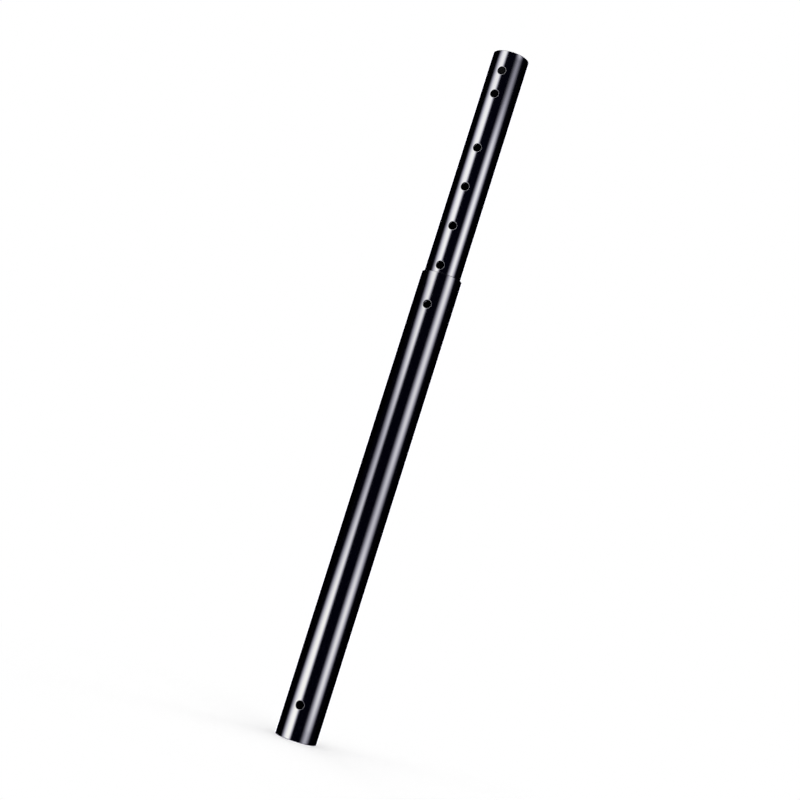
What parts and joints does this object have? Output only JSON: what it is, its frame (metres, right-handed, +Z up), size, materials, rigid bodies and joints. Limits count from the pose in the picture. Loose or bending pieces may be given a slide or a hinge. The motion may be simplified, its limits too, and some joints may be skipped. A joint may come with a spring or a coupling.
{
  "type": "extension pole",
  "caption": "Telescoping extension pole: a slim round tube slides inside a thicker one, and cross holes along both take a bolt that locks the height.",
  "frame": {"origin": "centre of the outer tube's foot, where the pole stands", "axes": "+Z up along the pole from the outer tube's foot to the inner tube's head; every cross hole runs along Y"},
  "size_m": [0.05, 0.05, 0.855],
  "materials": {
    "outer_tube_paint": "smooth high-gloss black paint on steel tube",
    "inner_tube_paint": "smooth high-gloss black paint on steel tube"
  },
  "bodies": {
    "outer": {"outer_tube": "outer_tube_paint"},
    "inner": {"inner_tube": "inner_tube_paint"}
  },
  "joints": [
    {"name": "height_slide", "type": "slide", "parent": "outer", "child": "inner", "axis": [0, 0, 1], "range_m": [-0.2, 0.2]}
  ]
}
